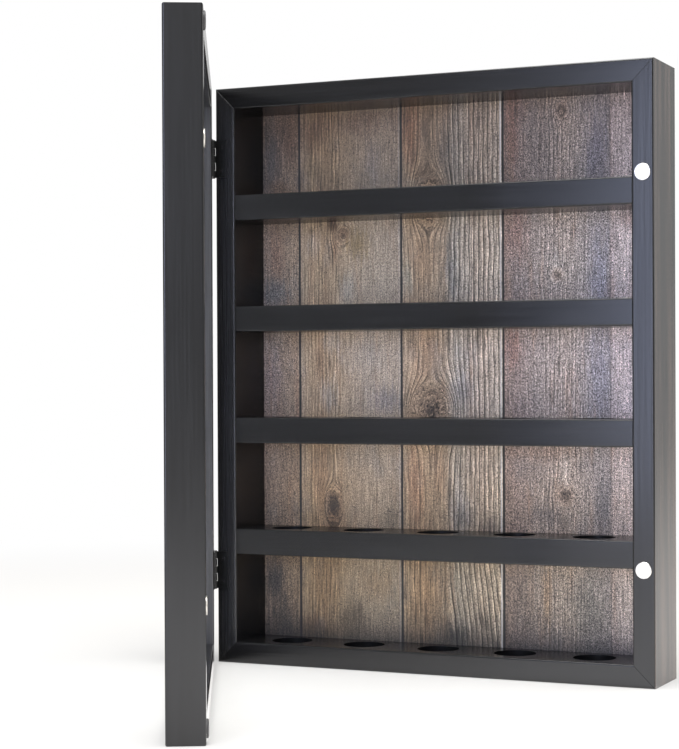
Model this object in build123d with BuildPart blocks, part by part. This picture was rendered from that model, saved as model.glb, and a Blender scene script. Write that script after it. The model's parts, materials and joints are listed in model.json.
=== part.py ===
"""A wall or table case for golf balls: a mitred frame, a plank back, four shelves with
ball seats, and a hinged door with a clear pane. Sizes are in millimetres.

The origin is the centre of the case's footprint. X runs to the right, Y to the back,
Z up. The door is drawn open, as it stands when the case is on show.
"""

import os

from build123d import *

# Overall sizes of the case; the door has the same width and height
case_width = 354.0
case_height = 450.0
case_depth = 57.5
door_depth = 25.0

# Moulding of both frames
face_width = 16.5
arris_radius = 1.3
mitre_line_depth = 0.15

# Back panel, worked as planks
panel_thickness = 3.0
panel_from_back = 5.3
panel_groove_depth = 5.0
first_seam_from_side = 48.9
plank_widths = (88.3, 84.4)
seam_width = 1.2
seam_depth = 0.8

# Shelves
shelf_count = 4
shelf_thickness = 20.0
shelf_recess = 1.0
bottom_row_extra = 1.5

# Ball seats
seats_per_row = 5
seat_diameter = 31.75
seat_depth = 8.0
seat_end_margin = 36.5

# Dowels at the ends of the shelves
dowel_diameter = 6.0
dowel_in_stile = 9.0
dowel_in_shelf = 16.0
dowel_from_edge = 11.0

# V-shaped nails across the mitres
nail_height = 12.0
nail_thickness = 0.6
nail_arm_reach = 2.4
nail_arm_spread = 4.0
outer_nail_from_corner = 6.0

# Door
door_gap = 2.0
open_angle = 62.0
pane_thickness = 2.0
pane_setback = 8.0
pane_groove_depth = 5.0

# Butt hinges
hinge_height = 29.0
hinge_leaf_width = 9.5
hinge_barrel_radius = 1.55
hinge_barrel_overlap = 0.15
hinge_pin_radius = 0.7
hinge_pin_head_radius = 1.3
hinge_pin_head_height = 0.6
hinge_knuckles = 5
upper_hinge_from_top = 55.1
lower_hinge_from_bottom = 72.6
hinge_screw_spacing = 18.0
hinge_screw_from_edge = 5.2

# Countersunk screws, the same for the hinges and the hangers
screw_radius = 0.9
screw_head_radius = 1.7
screw_length = 8.0

# Disc magnets
magnet_diameter = 12.0
magnet_thickness = 4.0
magnet_chamfer = 0.3
upper_magnet_from_top = 81.0
lower_magnet_from_bottom = 84.5

# Bumper pads on the free stile of the door
bumper_diameter = 12.0
bumper_from_end = 9.3
bumper_chamfer = 0.5

# Keyhole hangers let into the back of the stiles
hanger_length = 38.0
hanger_width = 12.0
hanger_thickness = 1.5
hanger_from_top = 45.0
hanger_screw_spacing = 29.0
keyhole_entry_radius = 3.75
keyhole_slot_width = 4.0
keyhole_rise = 8.0
keyhole_entry_drop = 3.0
hanger_relief_depth = 6.0
hanger_relief_margin = 0.5

# Clearances
board_play = 0.2
board_edge_play = 0.5
dowel_clearance = 0.05
dowel_end_clearance = 0.5
pin_clearance = 0.05
knuckle_gap = 0.3
barrel_clearance = 0.3
leaf_clearance = 0.4
screw_clearance = 0.05
magnet_clearance = 0.05
magnet_air_gap = 0.4
bumper_clearance = 0.3
screw_end_clearance = 0.8
nail_clearance = 1.0
hanger_clearance = 0.1

# Sizes that follow from the ones above
front_y = -case_depth / 2
back_y = case_depth / 2
inner_width = case_width - 2 * face_width
inner_height = case_height - 2 * face_width
panel_face_y = back_y - panel_from_back - panel_thickness
panel_setback = panel_face_y - front_y
shelf_front_y = front_y + shelf_recess
shelf_depth = panel_face_y - shelf_front_y
seat_row_y = (shelf_front_y + panel_face_y) / 2
seat_pitch = (inner_width - 2 * seat_end_margin) / (seats_per_row - 1)

row_count = shelf_count + 1
row_height = (inner_height - shelf_count * shelf_thickness - bottom_row_extra) / row_count
shelf_tops = [
    case_height - face_width - (n + 1) * row_height - n * shelf_thickness
    for n in range(shelf_count)
]

door_back_y = front_y - door_gap
door_front_y = door_back_y - door_depth
hinge_pin_outboard = hinge_barrel_radius - hinge_barrel_overlap
hinge_leaf_thickness = (door_gap - leaf_clearance) / 2
magnet_proud = (door_gap - magnet_air_gap) / 2
pin_x = -case_width / 2 - hinge_pin_outboard
pin_y = front_y - door_gap / 2
door_pose = Pos(pin_x, pin_y) * Rot(Z=-open_angle) * Pos(-pin_x, -pin_y)

knuckle_height = hinge_height / hinge_knuckles
case_knuckles = range(0, hinge_knuckles, 2)
door_knuckles = range(1, hinge_knuckles, 2)
hinge_centres = {
    "upper": case_height - upper_hinge_from_top,
    "lower": lower_hinge_from_bottom,
}
magnet_heights = {
    "upper": case_height - upper_magnet_from_top,
    "lower": lower_magnet_from_bottom,
}
bumper_heights = {
    "upper": case_height - bumper_from_end,
    "lower": bumper_from_end,
}
nail_places = (outer_nail_from_corner, face_width - panel_groove_depth - nail_clearance)
magnet_x = (case_width - face_width) / 2
hanger_x = (case_width - face_width) / 2
hanger_z = case_height - hanger_from_top
sides = {"left": -1, "right": 1}


def on_door(plane):
    """The plane of a piece of the shut door, swung out with the door."""
    return Plane(door_pose * plane.location)


def frame_edges(frame_front_y):
    """Planes at the middle of a frame's four outer faces, at its front.

    On each plane X runs along the member, Y into the frame and Z to the back.
    """
    half = case_width / 2
    middle = case_height / 2
    return {
        "left": Plane((-half, frame_front_y, middle), x_dir=(0, 0, 1), z_dir=(0, 1, 0)),
        "right": Plane((half, frame_front_y, middle), x_dir=(0, 0, -1), z_dir=(0, 1, 0)),
        "top": Plane((0, frame_front_y, case_height), x_dir=(1, 0, 0), z_dir=(0, 1, 0)),
        "bottom": Plane((0, frame_front_y, 0), x_dir=(-1, 0, 0), z_dir=(0, 1, 0)),
    }


def frame_corners(frame_back_y):
    """Planes at a frame's four outer corners, at its back.

    On each plane X runs along the mitre to the inside and Z into the wood.
    """
    return [
        Plane(
            (x_side * case_width / 2, frame_back_y, case_height if z_side > 0 else 0),
            x_dir=(-x_side, 0, -z_side),
            z_dir=(0, -1, 0),
        )
        for x_side in (-1, 1)
        for z_side in (-1, 1)
    ]


def frame_member(edge, length, depth, groove_setback, groove_width, groove_depth):
    """A length of moulding with eased arrises and a groove, mitred at both ends.

    Each mitre shows as a fine V-line on the front and back of the frame.
    """
    section_plane = Plane(edge.origin, x_dir=edge.y_dir, z_dir=edge.x_dir)
    with BuildPart() as member:
        with BuildSketch(section_plane) as section:
            Rectangle(face_width, depth, align=(Align.MIN, Align.MIN))
            fillet(section.vertices(), radius=arris_radius)
            with Locations((face_width, groove_setback)):
                Rectangle(
                    groove_depth,
                    groove_width,
                    align=(Align.MAX, Align.MIN),
                    mode=Mode.SUBTRACT,
                )
        extrude(amount=length / 2, both=True)
        for end in (-1, 1):
            outer_corner = edge.from_local_coords((end * length / 2, 0, 0))
            mitre = Plane(outer_corner, z_dir=edge.x_dir * end + edge.y_dir)
            split(bisect_by=mitre, keep=Keep.BOTTOM)
            inward = edge.y_dir - edge.x_dir * end
            with BuildSketch(Plane(outer_corner, x_dir=edge.z_dir, z_dir=inward)):
                with Locations((0, 0), (depth, 0)):
                    Rectangle(mitre_line_depth * 2**0.5, mitre_line_depth * 2**0.5, rotation=45)
            extrude(amount=face_width * 2**0.5, mode=Mode.SUBTRACT)
    return member.part


def case_member(edge, length):
    """A member of the case's frame, grooved for the back panel."""
    groove_width = panel_thickness + board_play
    return frame_member(
        edge, length, case_depth, panel_setback, groove_width, panel_groove_depth
    )


def door_member(edge, length):
    """A member of the door's frame, grooved for the pane."""
    groove_width = pane_thickness + board_play
    return frame_member(
        edge, length, door_depth, pane_setback, groove_width, pane_groove_depth
    )


def corner_nails(corners):
    """V-shaped nails across the mitres at these corners, flush with the back."""
    with BuildPart() as nails:
        for corner in corners:
            with BuildSketch(corner):
                for place in nail_places:
                    apex = place * 2**0.5
                    tip = apex - nail_arm_reach
                    with BuildLine():
                        Polyline(
                            (apex, 0),
                            (tip, nail_arm_spread),
                            (tip - nail_thickness, nail_arm_spread),
                            (apex - nail_thickness, 0),
                            (tip - nail_thickness, -nail_arm_spread),
                            (tip, -nail_arm_spread),
                            close=True,
                        )
                    make_face()
            extrude(amount=nail_height)
    return nails.part


def drill_ball_seats(board_top):
    """One row of flat-bottomed seats in a board whose top is at this height."""
    with Locations(Plane((0, seat_row_y, board_top))):
        with GridLocations(seat_pitch, seat_pitch, seats_per_row, 1):
            Hole(seat_diameter / 2, depth=seat_depth)


def dowel_planes(side, tops):
    """Planes on a stile's inner face, one for each dowel of the shelves with these tops."""
    return [
        Plane((side * inner_width / 2, dowel_y, top - shelf_thickness / 2), z_dir=(-side, 0, 0))
        for top in tops
        for dowel_y in (shelf_front_y + dowel_from_edge, panel_face_y - dowel_from_edge)
    ]


def hanger_plane(side):
    """The plane of a hanger on the back of the case, with its Y up."""
    return Plane((side * hanger_x, back_y, hanger_z), x_dir=(-1, 0, 0), z_dir=(0, 1, 0))


def hanger_screw_planes(side):
    """Planes at the two screws of a hanger, facing back."""
    plane = hanger_plane(side)
    half = hanger_screw_spacing / 2
    return [Plane(plane.from_local_coords((0, y, 0)), z_dir=plane.z_dir) for y in (-half, half)]


def cut_hanger_mortise(side):
    """A shallow mortise for a hanger and a deeper pocket for the wall screw's head."""
    with BuildSketch(hanger_plane(side)) as mortise:
        SlotOverall(
            hanger_length + 2 * hanger_clearance,
            hanger_width + 2 * hanger_clearance,
            rotation=90,
        )
    extrude(mortise.sketch, amount=-hanger_thickness, mode=Mode.SUBTRACT)
    with BuildSketch(hanger_plane(side)) as pocket:
        with Locations((0, keyhole_rise / 2 - keyhole_entry_drop)):
            SlotCenterToCenter(
                keyhole_rise,
                2 * (keyhole_entry_radius + hanger_relief_margin),
                rotation=90,
            )
    extrude(pocket.sketch, amount=-hanger_relief_depth, mode=Mode.SUBTRACT)
    drill_screw_holes(hanger_screw_planes(side))


def cut_case_stile(side):
    """What both stiles of the case share: nail slots, dowel holes and the hanger."""
    add(case_corner_nails.part, mode=Mode.SUBTRACT)
    with Locations(*dowel_planes(side, shelf_tops)):
        Hole(
            dowel_diameter / 2 + dowel_clearance,
            depth=dowel_in_stile + dowel_end_clearance,
        )
    cut_hanger_mortise(side)


def drill_screw_holes(planes):
    """Holes for screws whose heads lie in these planes, countersunk where a head reaches."""
    with Locations(*planes):
        CounterSinkHole(
            radius=screw_radius + screw_clearance,
            counter_sink_radius=screw_head_radius + screw_clearance,
            depth=screw_length + screw_end_clearance,
        )


def screws(planes):
    """Countersunk screws whose heads lie in these planes and whose shanks run down -Z."""
    below = (Align.CENTER, Align.CENTER, Align.MAX)
    with BuildPart() as group:
        with Locations(*planes):
            Cylinder(screw_radius, screw_length, align=below)
            Cone(screw_radius, screw_head_radius, screw_head_radius - screw_radius, align=below)
    return group.part


def disc_magnet(face):
    """A disc magnet sunk in this face, standing a little proud of it."""
    with BuildPart() as magnet:
        with BuildSketch(face.offset(magnet_proud)):
            Circle(magnet_diameter / 2)
        extrude(amount=-magnet_thickness)
        chamfer(magnet.edges().filter_by(GeomType.CIRCLE), length=magnet_chamfer)
    return magnet.part


def drill_magnet_seat(face):
    """The blind hole that takes a disc magnet."""
    with Locations(face):
        Hole(magnet_diameter / 2 + magnet_clearance, depth=magnet_thickness - magnet_proud)


def case_magnet_face(height):
    """The plane of a magnet on the front of the case's right stile."""
    return Plane((magnet_x, front_y, height), z_dir=(0, -1, 0))


def door_face(x, height):
    """A plane on the back of the door, facing the case when the door is shut."""
    return on_door(Plane((x, door_back_y, height), x_dir=(-1, 0, 0), z_dir=(0, 1, 0)))


def hinge_planes(height):
    """Planes on a hinge's axis, at the lower end for the case and the upper for the door.

    On each plane X runs along the leaf and Y to the wood that the leaf is screwed to.
    """
    low = Plane((pin_x, pin_y, height - hinge_height / 2))
    high = Plane((pin_x, pin_y, height + hinge_height / 2), x_dir=(1, 0, 0), z_dir=(0, 0, -1))
    return low, on_door(high)


def hinge_screw_planes(hinge_plane):
    """Planes at a leaf's two screws, on the leaf's face and facing out of the wood."""
    x = hinge_pin_outboard + hinge_screw_from_edge
    y = door_gap / 2 - hinge_leaf_thickness
    heights = [(hinge_height + sign * hinge_screw_spacing) / 2 for sign in (-1, 1)]
    outward = hinge_plane.y_dir * -1
    return [Plane(hinge_plane.from_local_coords((x, y, z)), z_dir=outward) for z in heights]


def hinge_leaf(hinge_plane, other_knuckles):
    """A leaf rolled round the pin, cut away where the other leaf has its knuckles."""
    notch = 2 * (hinge_barrel_radius + barrel_clearance)
    with BuildPart() as leaf:
        with BuildSketch(hinge_plane):
            Circle(hinge_barrel_radius)
            with Locations((0, door_gap / 2)):
                Rectangle(
                    hinge_pin_outboard + hinge_leaf_width,
                    hinge_leaf_thickness,
                    align=(Align.MIN, Align.MAX),
                )
            Circle(hinge_pin_radius + pin_clearance, mode=Mode.SUBTRACT)
        extrude(amount=hinge_height)
        for knuckle in other_knuckles:
            with BuildSketch(hinge_plane.offset(knuckle * knuckle_height - knuckle_gap / 2)):
                Rectangle(notch, notch)
            extrude(amount=knuckle_height + knuckle_gap, mode=Mode.SUBTRACT)
        drill_screw_holes(hinge_screw_planes(hinge_plane))
    return leaf.part


def hinge_pin(height):
    """A pin with a low head at each end of the barrel."""
    with BuildPart() as pin:
        with BuildSketch(Plane((pin_x, pin_y, height))):
            Circle(hinge_pin_radius)
        extrude(amount=hinge_height / 2 + hinge_pin_head_height, both=True)
        for end in (-1, 1):
            barrel_end = Plane((pin_x, pin_y, height + end * hinge_height / 2), z_dir=(0, 0, end))
            with BuildSketch(barrel_end):
                Circle(hinge_pin_head_radius)
            extrude(amount=hinge_pin_head_height)
    return pin.part


# Planes that more than one piece shares
case_edges = frame_edges(front_y)
door_edges = {name: on_door(edge) for name, edge in frame_edges(door_front_y).items()}
case_hinge_planes = {}
door_hinge_planes = {}
for place, height in hinge_centres.items():
    case_hinge_planes[place], door_hinge_planes[place] = hinge_planes(height)
pieces = {}

# V-shaped nails of both frames
with BuildPart() as case_corner_nails:
    add(corner_nails(frame_corners(back_y)))
pieces["case_corner_nails"] = case_corner_nails.part

with BuildPart() as door_corner_nails:
    add(corner_nails([on_door(corner) for corner in frame_corners(door_back_y)]))
pieces["door_corner_nails"] = door_corner_nails.part

# Frame of the case
with BuildPart() as case_left_stile:
    add(case_member(case_edges["left"], case_height))
    cut_case_stile(sides["left"])
    for plane in case_hinge_planes.values():
        drill_screw_holes(hinge_screw_planes(plane))
pieces["case_left_stile"] = case_left_stile.part

with BuildPart() as case_right_stile:
    add(case_member(case_edges["right"], case_height))
    cut_case_stile(sides["right"])
    for height in magnet_heights.values():
        drill_magnet_seat(case_magnet_face(height))
pieces["case_right_stile"] = case_right_stile.part

with BuildPart() as case_top_rail:
    add(case_member(case_edges["top"], case_width))
    add(case_corner_nails.part, mode=Mode.SUBTRACT)
pieces["case_top_rail"] = case_top_rail.part

with BuildPart() as case_bottom_rail:
    add(case_member(case_edges["bottom"], case_width))
    add(case_corner_nails.part, mode=Mode.SUBTRACT)
    drill_ball_seats(face_width)
pieces["case_bottom_rail"] = case_bottom_rail.part

# Back panel, held in the groove all round, with a sunk seam between planks
with BuildPart() as back_panel:
    reach = panel_groove_depth - board_edge_play
    panel_middle = (0, panel_face_y, case_height / 2)
    with BuildSketch(Plane(panel_middle, x_dir=(-1, 0, 0), z_dir=(0, 1, 0))):
        Rectangle(inner_width + 2 * reach, inner_height + 2 * reach)
    extrude(amount=panel_thickness)
    seams = [first_seam_from_side - case_width / 2]
    for plank_width in plank_widths:
        seams.append(seams[-1] + plank_width)
    for seam_x in seams:
        with BuildSketch(Plane((seam_x, panel_face_y, case_height / 2), z_dir=(0, 1, 0))):
            Rectangle(seam_width, 2 * case_height)
        extrude(amount=seam_depth, mode=Mode.SUBTRACT)
pieces["back_panel"] = back_panel.part

# Shelves
for number, top in enumerate(shelf_tops, start=1):
    with BuildPart() as shelf:
        with BuildSketch(Plane((0, shelf_front_y, top))):
            Rectangle(inner_width, shelf_depth, align=(Align.CENTER, Align.MIN))
        extrude(amount=-shelf_thickness)
        front_arrises = shelf.edges().filter_by(Axis.X).group_by(Axis.Y)[0]
        fillet(front_arrises, radius=arris_radius)
        drill_ball_seats(top)
        for side in sides.values():
            with Locations(*dowel_planes(side, [top])):
                Hole(
                    dowel_diameter / 2 + dowel_clearance,
                    depth=dowel_in_shelf + dowel_end_clearance,
                )
    pieces[f"shelf_{number}"] = shelf.part

# Dowels, part in the stiles and part in the shelves
with BuildPart() as shelf_dowels:
    for side in sides.values():
        for plane in dowel_planes(side, shelf_tops):
            with BuildSketch(plane.offset(-dowel_in_stile)):
                Circle(dowel_diameter / 2)
            extrude(amount=dowel_in_stile + dowel_in_shelf)
pieces["shelf_dowels"] = shelf_dowels.part

# Frame of the door
with BuildPart() as door_hinge_stile:
    add(door_member(door_edges["left"], case_height))
    add(door_corner_nails.part, mode=Mode.SUBTRACT)
    for plane in door_hinge_planes.values():
        drill_screw_holes(hinge_screw_planes(plane))
pieces["door_hinge_stile"] = door_hinge_stile.part

with BuildPart() as door_free_stile:
    add(door_member(door_edges["right"], case_height))
    add(door_corner_nails.part, mode=Mode.SUBTRACT)
    for height in magnet_heights.values():
        drill_magnet_seat(door_face(magnet_x, height))
pieces["door_free_stile"] = door_free_stile.part

for name in ("top", "bottom"):
    with BuildPart() as door_rail:
        add(door_member(door_edges[name], case_width))
        add(door_corner_nails.part, mode=Mode.SUBTRACT)
    pieces[f"door_{name}_rail"] = door_rail.part

# Pane, held in the door's groove all round
with BuildPart() as door_pane:
    reach = pane_groove_depth - board_edge_play
    pane_middle = (0, door_front_y + pane_setback, case_height / 2)
    with BuildSketch(on_door(Plane(pane_middle, x_dir=(-1, 0, 0), z_dir=(0, 1, 0)))):
        Rectangle(inner_width + 2 * reach, inner_height + 2 * reach)
    extrude(amount=pane_thickness)
pieces["door_pane"] = door_pane.part

# Magnets that hold the door shut
for place, height in magnet_heights.items():
    with BuildPart() as case_magnet:
        add(disc_magnet(case_magnet_face(height)))
    pieces[f"case_magnet_{place}"] = case_magnet.part
    with BuildPart() as door_magnet:
        add(disc_magnet(door_face(magnet_x, height)))
    pieces[f"door_magnet_{place}"] = door_magnet.part

# Bumper pads at the corners of the door's free stile
for place, height in bumper_heights.items():
    with BuildPart() as bumper:
        seat = door_face(magnet_x, height)
        with BuildSketch(seat):
            Circle(bumper_diameter / 2)
        extrude(amount=door_gap - bumper_clearance)
        outer_rim = bumper.edges().sort_by(Axis(seat.origin, seat.z_dir))[-1]
        chamfer(outer_rim, length=bumper_chamfer)
    pieces[f"door_bumper_{place}"] = bumper.part

# Hinges
for place, height in hinge_centres.items():
    with BuildPart() as case_leaf:
        add(hinge_leaf(case_hinge_planes[place], door_knuckles))
    pieces[f"{place}_hinge_case_leaf"] = case_leaf.part
    with BuildPart() as door_leaf:
        add(hinge_leaf(door_hinge_planes[place], case_knuckles))
    pieces[f"{place}_hinge_door_leaf"] = door_leaf.part
    with BuildPart() as pin:
        add(hinge_pin(height))
    pieces[f"{place}_hinge_pin"] = pin.part

# Screws
with BuildPart() as case_hinge_screws:
    for plane in case_hinge_planes.values():
        add(screws(hinge_screw_planes(plane)))
pieces["case_hinge_screws"] = case_hinge_screws.part

with BuildPart() as door_hinge_screws:
    for plane in door_hinge_planes.values():
        add(screws(hinge_screw_planes(plane)))
pieces["door_hinge_screws"] = door_hinge_screws.part

with BuildPart() as keyhole_screws:
    for side in sides.values():
        add(screws(hanger_screw_planes(side)))
pieces["keyhole_screws"] = keyhole_screws.part

# Keyhole hangers
for name, side in sides.items():
    with BuildPart() as hanger:
        with BuildSketch(hanger_plane(side)):
            SlotOverall(hanger_length, hanger_width, rotation=90)
            with Locations((0, -keyhole_entry_drop)):
                Circle(keyhole_entry_radius, mode=Mode.SUBTRACT)
            with Locations((0, keyhole_rise / 2 - keyhole_entry_drop)):
                SlotCenterToCenter(
                    keyhole_rise,
                    keyhole_slot_width,
                    rotation=90,
                    mode=Mode.SUBTRACT,
                )
        extrude(amount=-hanger_thickness)
        drill_screw_holes(hanger_screw_planes(side))
    pieces[f"keyhole_plate_{name}"] = hanger.part

os.makedirs("parts", exist_ok=True)
for name, piece in pieces.items():
    piece.label = name
    export_step(piece, f"parts/{name}.step")
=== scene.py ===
"""Looks of a golf ball display case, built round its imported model.

Sizes are in metres. Wood patterns are laid out in millimetres from the left side of the case.
"""

import json
import math

import bpy
from bpy.props import FloatProperty, FloatVectorProperty, IntProperty, PointerProperty
from mathutils import Matrix, Vector


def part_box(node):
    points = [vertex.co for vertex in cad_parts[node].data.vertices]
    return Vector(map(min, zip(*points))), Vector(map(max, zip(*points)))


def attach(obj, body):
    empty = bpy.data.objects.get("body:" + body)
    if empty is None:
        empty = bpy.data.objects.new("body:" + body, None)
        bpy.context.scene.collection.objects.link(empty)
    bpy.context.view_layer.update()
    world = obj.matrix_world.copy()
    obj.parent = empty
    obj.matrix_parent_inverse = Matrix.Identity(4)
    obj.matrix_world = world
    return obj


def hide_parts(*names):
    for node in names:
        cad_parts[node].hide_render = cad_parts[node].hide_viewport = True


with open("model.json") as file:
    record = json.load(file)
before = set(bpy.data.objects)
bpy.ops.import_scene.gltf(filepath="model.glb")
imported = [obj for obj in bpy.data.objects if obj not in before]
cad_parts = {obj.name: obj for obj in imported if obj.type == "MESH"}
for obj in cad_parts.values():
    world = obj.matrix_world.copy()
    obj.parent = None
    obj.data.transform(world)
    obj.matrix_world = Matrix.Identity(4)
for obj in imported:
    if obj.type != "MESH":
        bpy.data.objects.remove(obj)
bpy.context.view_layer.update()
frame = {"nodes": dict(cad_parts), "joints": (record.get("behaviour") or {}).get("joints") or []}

bl_info = {
    "name": "Golf ball display case",
    "version": (1, 0, 0),
    "blender": (4, 5, 0),
    "location": "3D View > Sidebar > Display case",
    "description": "Lacquered frames, plank back, pane, fittings and a white stage",
    "category": "Object",
}

MM = 0.001
WHITE = (1.0, 1.0, 1.0, 1.0)

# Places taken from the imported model
nodes = frame["nodes"]
case_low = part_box("case_left_stile")[0]
case_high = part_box("case_right_stile")[1]
case_width = case_high.x - case_low.x
case_height = case_high.z - case_low.z
panel_low, panel_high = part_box("back_panel")
door_joint = frame["joints"][0]
door_angle = math.radians(-door_joint["range_deg"][0])
door_pin = Vector(door_joint["pos_m"])
door_swing = (
    Matrix.Translation(door_pin)
    @ Matrix.Rotation(-door_angle, 4, "Z")
    @ Matrix.Translation(-door_pin)
)


def tone(red, green, blue):
    """A colour as seen on a screen, 0 to 255, as linear light."""
    return tuple((value / 255) ** 2.2 for value in (red, green, blue))


# Settings that a user would change


class LacquerSettings(bpy.types.PropertyGroup):
    colour: FloatVectorProperty(
        name="Colour",
        description="Body colour of the black lacquer",
        default=(0.0034, 0.0034, 0.0037),
        min=0.0,
        max=1.0,
        subtype="COLOR",
    )
    roughness: FloatProperty(
        name="Roughness",
        description="Roughness of the lacquer between the grain lines",
        default=0.22,
        min=0.0,
        max=1.0,
        subtype="FACTOR",
    )
    grain_width: FloatProperty(
        name="Grain width",
        description="Width of one line of grain that shows through the lacquer",
        default=1.1 * MM,
        unit="LENGTH",
    )
    grain_length: FloatProperty(
        name="Grain length",
        description="Length over which a line of grain runs",
        default=90 * MM,
        unit="LENGTH",
    )
    wave_width: FloatProperty(
        name="Wave width",
        description="Width of the shallow waves that the grain leaves in the lacquer",
        default=2.4 * MM,
        unit="LENGTH",
    )
    wave_depth: FloatProperty(
        name="Wave depth",
        description="Depth of the shallow waves in the lacquer",
        default=0.045 * MM,
        unit="LENGTH",
    )
    band_width: FloatProperty(
        name="Band width",
        description="Width of the broad bands of wood that show through the lacquer",
        default=6.0 * MM,
        unit="LENGTH",
    )
    side_tone: FloatVectorProperty(
        name="Side tone",
        description="Colour of the wood where the lacquer is thin on the case's outer sides",
        default=(0.042, 0.029, 0.024),
        min=0.0,
        max=1.0,
        subtype="COLOR",
    )
    # Painted light: a lighter colour on the front of the left stile, standing in for light that
    # the open door keeps off it
    front_painted_light: FloatVectorProperty(
        name="Front tone",
        description="Colour of the dulled lacquer on the front of the stile beside the hinges",
        default=(0.0100, 0.0100, 0.0110),
        min=0.0,
        max=1.0,
        subtype="COLOR",
    )
    opening_tone: FloatVectorProperty(
        name="Opening tone",
        description="Colour of the thin lacquer on the hinge stile inside the door's opening",
        default=(0.041, 0.041, 0.043),
        min=0.0,
        max=1.0,
        subtype="COLOR",
    )


class PlankSettings(bpy.types.PropertyGroup):
    line_strength: FloatProperty(
        name="Line strength",
        description="How strongly the growth lines show",
        default=1.0,
        min=0.0,
        max=1.5,
        subtype="FACTOR",
    )
    fibre_width: FloatProperty(
        name="Fibre width",
        description="Width of the fine fibres along the boards",
        default=1.1 * MM,
        unit="LENGTH",
    )
    speckle_size: FloatProperty(
        name="Speckle size",
        description="Size of the fine speckle of the weathered faces",
        default=0.64 * MM,
        unit="LENGTH",
    )
    relief: FloatProperty(
        name="Relief",
        description="Depth of the lines and the speckle",
        default=0.16 * MM,
        unit="LENGTH",
    )
    brightness: FloatProperty(
        name="Brightness",
        description="Share by which all plank colours are lightened",
        default=0.81,
        min=0.0,
        max=3.0,
    )


class FittingSettings(bpy.types.PropertyGroup):
    nickel: FloatVectorProperty(
        name="Nickel",
        description="Colour of the magnets' plating",
        default=(0.43, 0.41, 0.375),
        min=0.0,
        max=1.0,
        subtype="COLOR",
    )
    recess_width: FloatProperty(
        name="Recess width",
        description="Width of the slots of a screw's cross recess",
        default=0.5 * MM,
        unit="LENGTH",
    )
    recess_depth: FloatProperty(
        name="Recess depth",
        description="Depth of a screw's cross recess",
        default=0.6 * MM,
        unit="LENGTH",
    )
    screw_sides: IntProperty(
        name="Screw sides",
        description="Number of sides of a screw's head",
        default=32,
        min=12,
    )
    pad_edge: FloatProperty(
        name="Pad edge",
        description="Rounding of a bumper pad's outer edge",
        default=0.9 * MM,
        unit="LENGTH",
    )


class StageSettings(bpy.types.PropertyGroup):
    floor_size: FloatProperty(
        name="Floor size",
        description="Length of the floor's sides",
        default=9.0,
        unit="LENGTH",
    )
    floor_colour: FloatVectorProperty(
        name="Floor colour",
        description="Colour of the pale floor",
        default=(0.93, 0.885, 0.84),
        min=0.0,
        max=1.0,
        subtype="COLOR",
    )
    seen_floor: FloatVectorProperty(
        name="Seen floor",
        description="Colour that the lamps bring up to white in the picture",
        default=(0.368, 0.361, 0.349),
        min=0.0,
        max=1.0,
        subtype="COLOR",
    )
    far_floor: FloatVectorProperty(
        name="Far floor",
        description="Colour of the room's floor beyond the pale one",
        default=(0.26, 0.25, 0.25),
        min=0.0,
        max=1.0,
        subtype="COLOR",
    )
    front_light: FloatProperty(
        name="Front light",
        description="Power of the soft light in front of the case",
        default=22.5,
        unit="POWER",
    )
    top_light: FloatProperty(
        name="Top light",
        description="Power of the soft light overhead",
        default=150.0,
        unit="POWER",
    )
    side_light: FloatProperty(
        name="Side light",
        description="Power of the soft light on the right",
        default=20.0,
        unit="POWER",
    )
    lens: FloatProperty(
        name="Lens",
        description="Focal length of the camera in millimetres",
        default=94.26,
    )


# Node graphs


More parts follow.
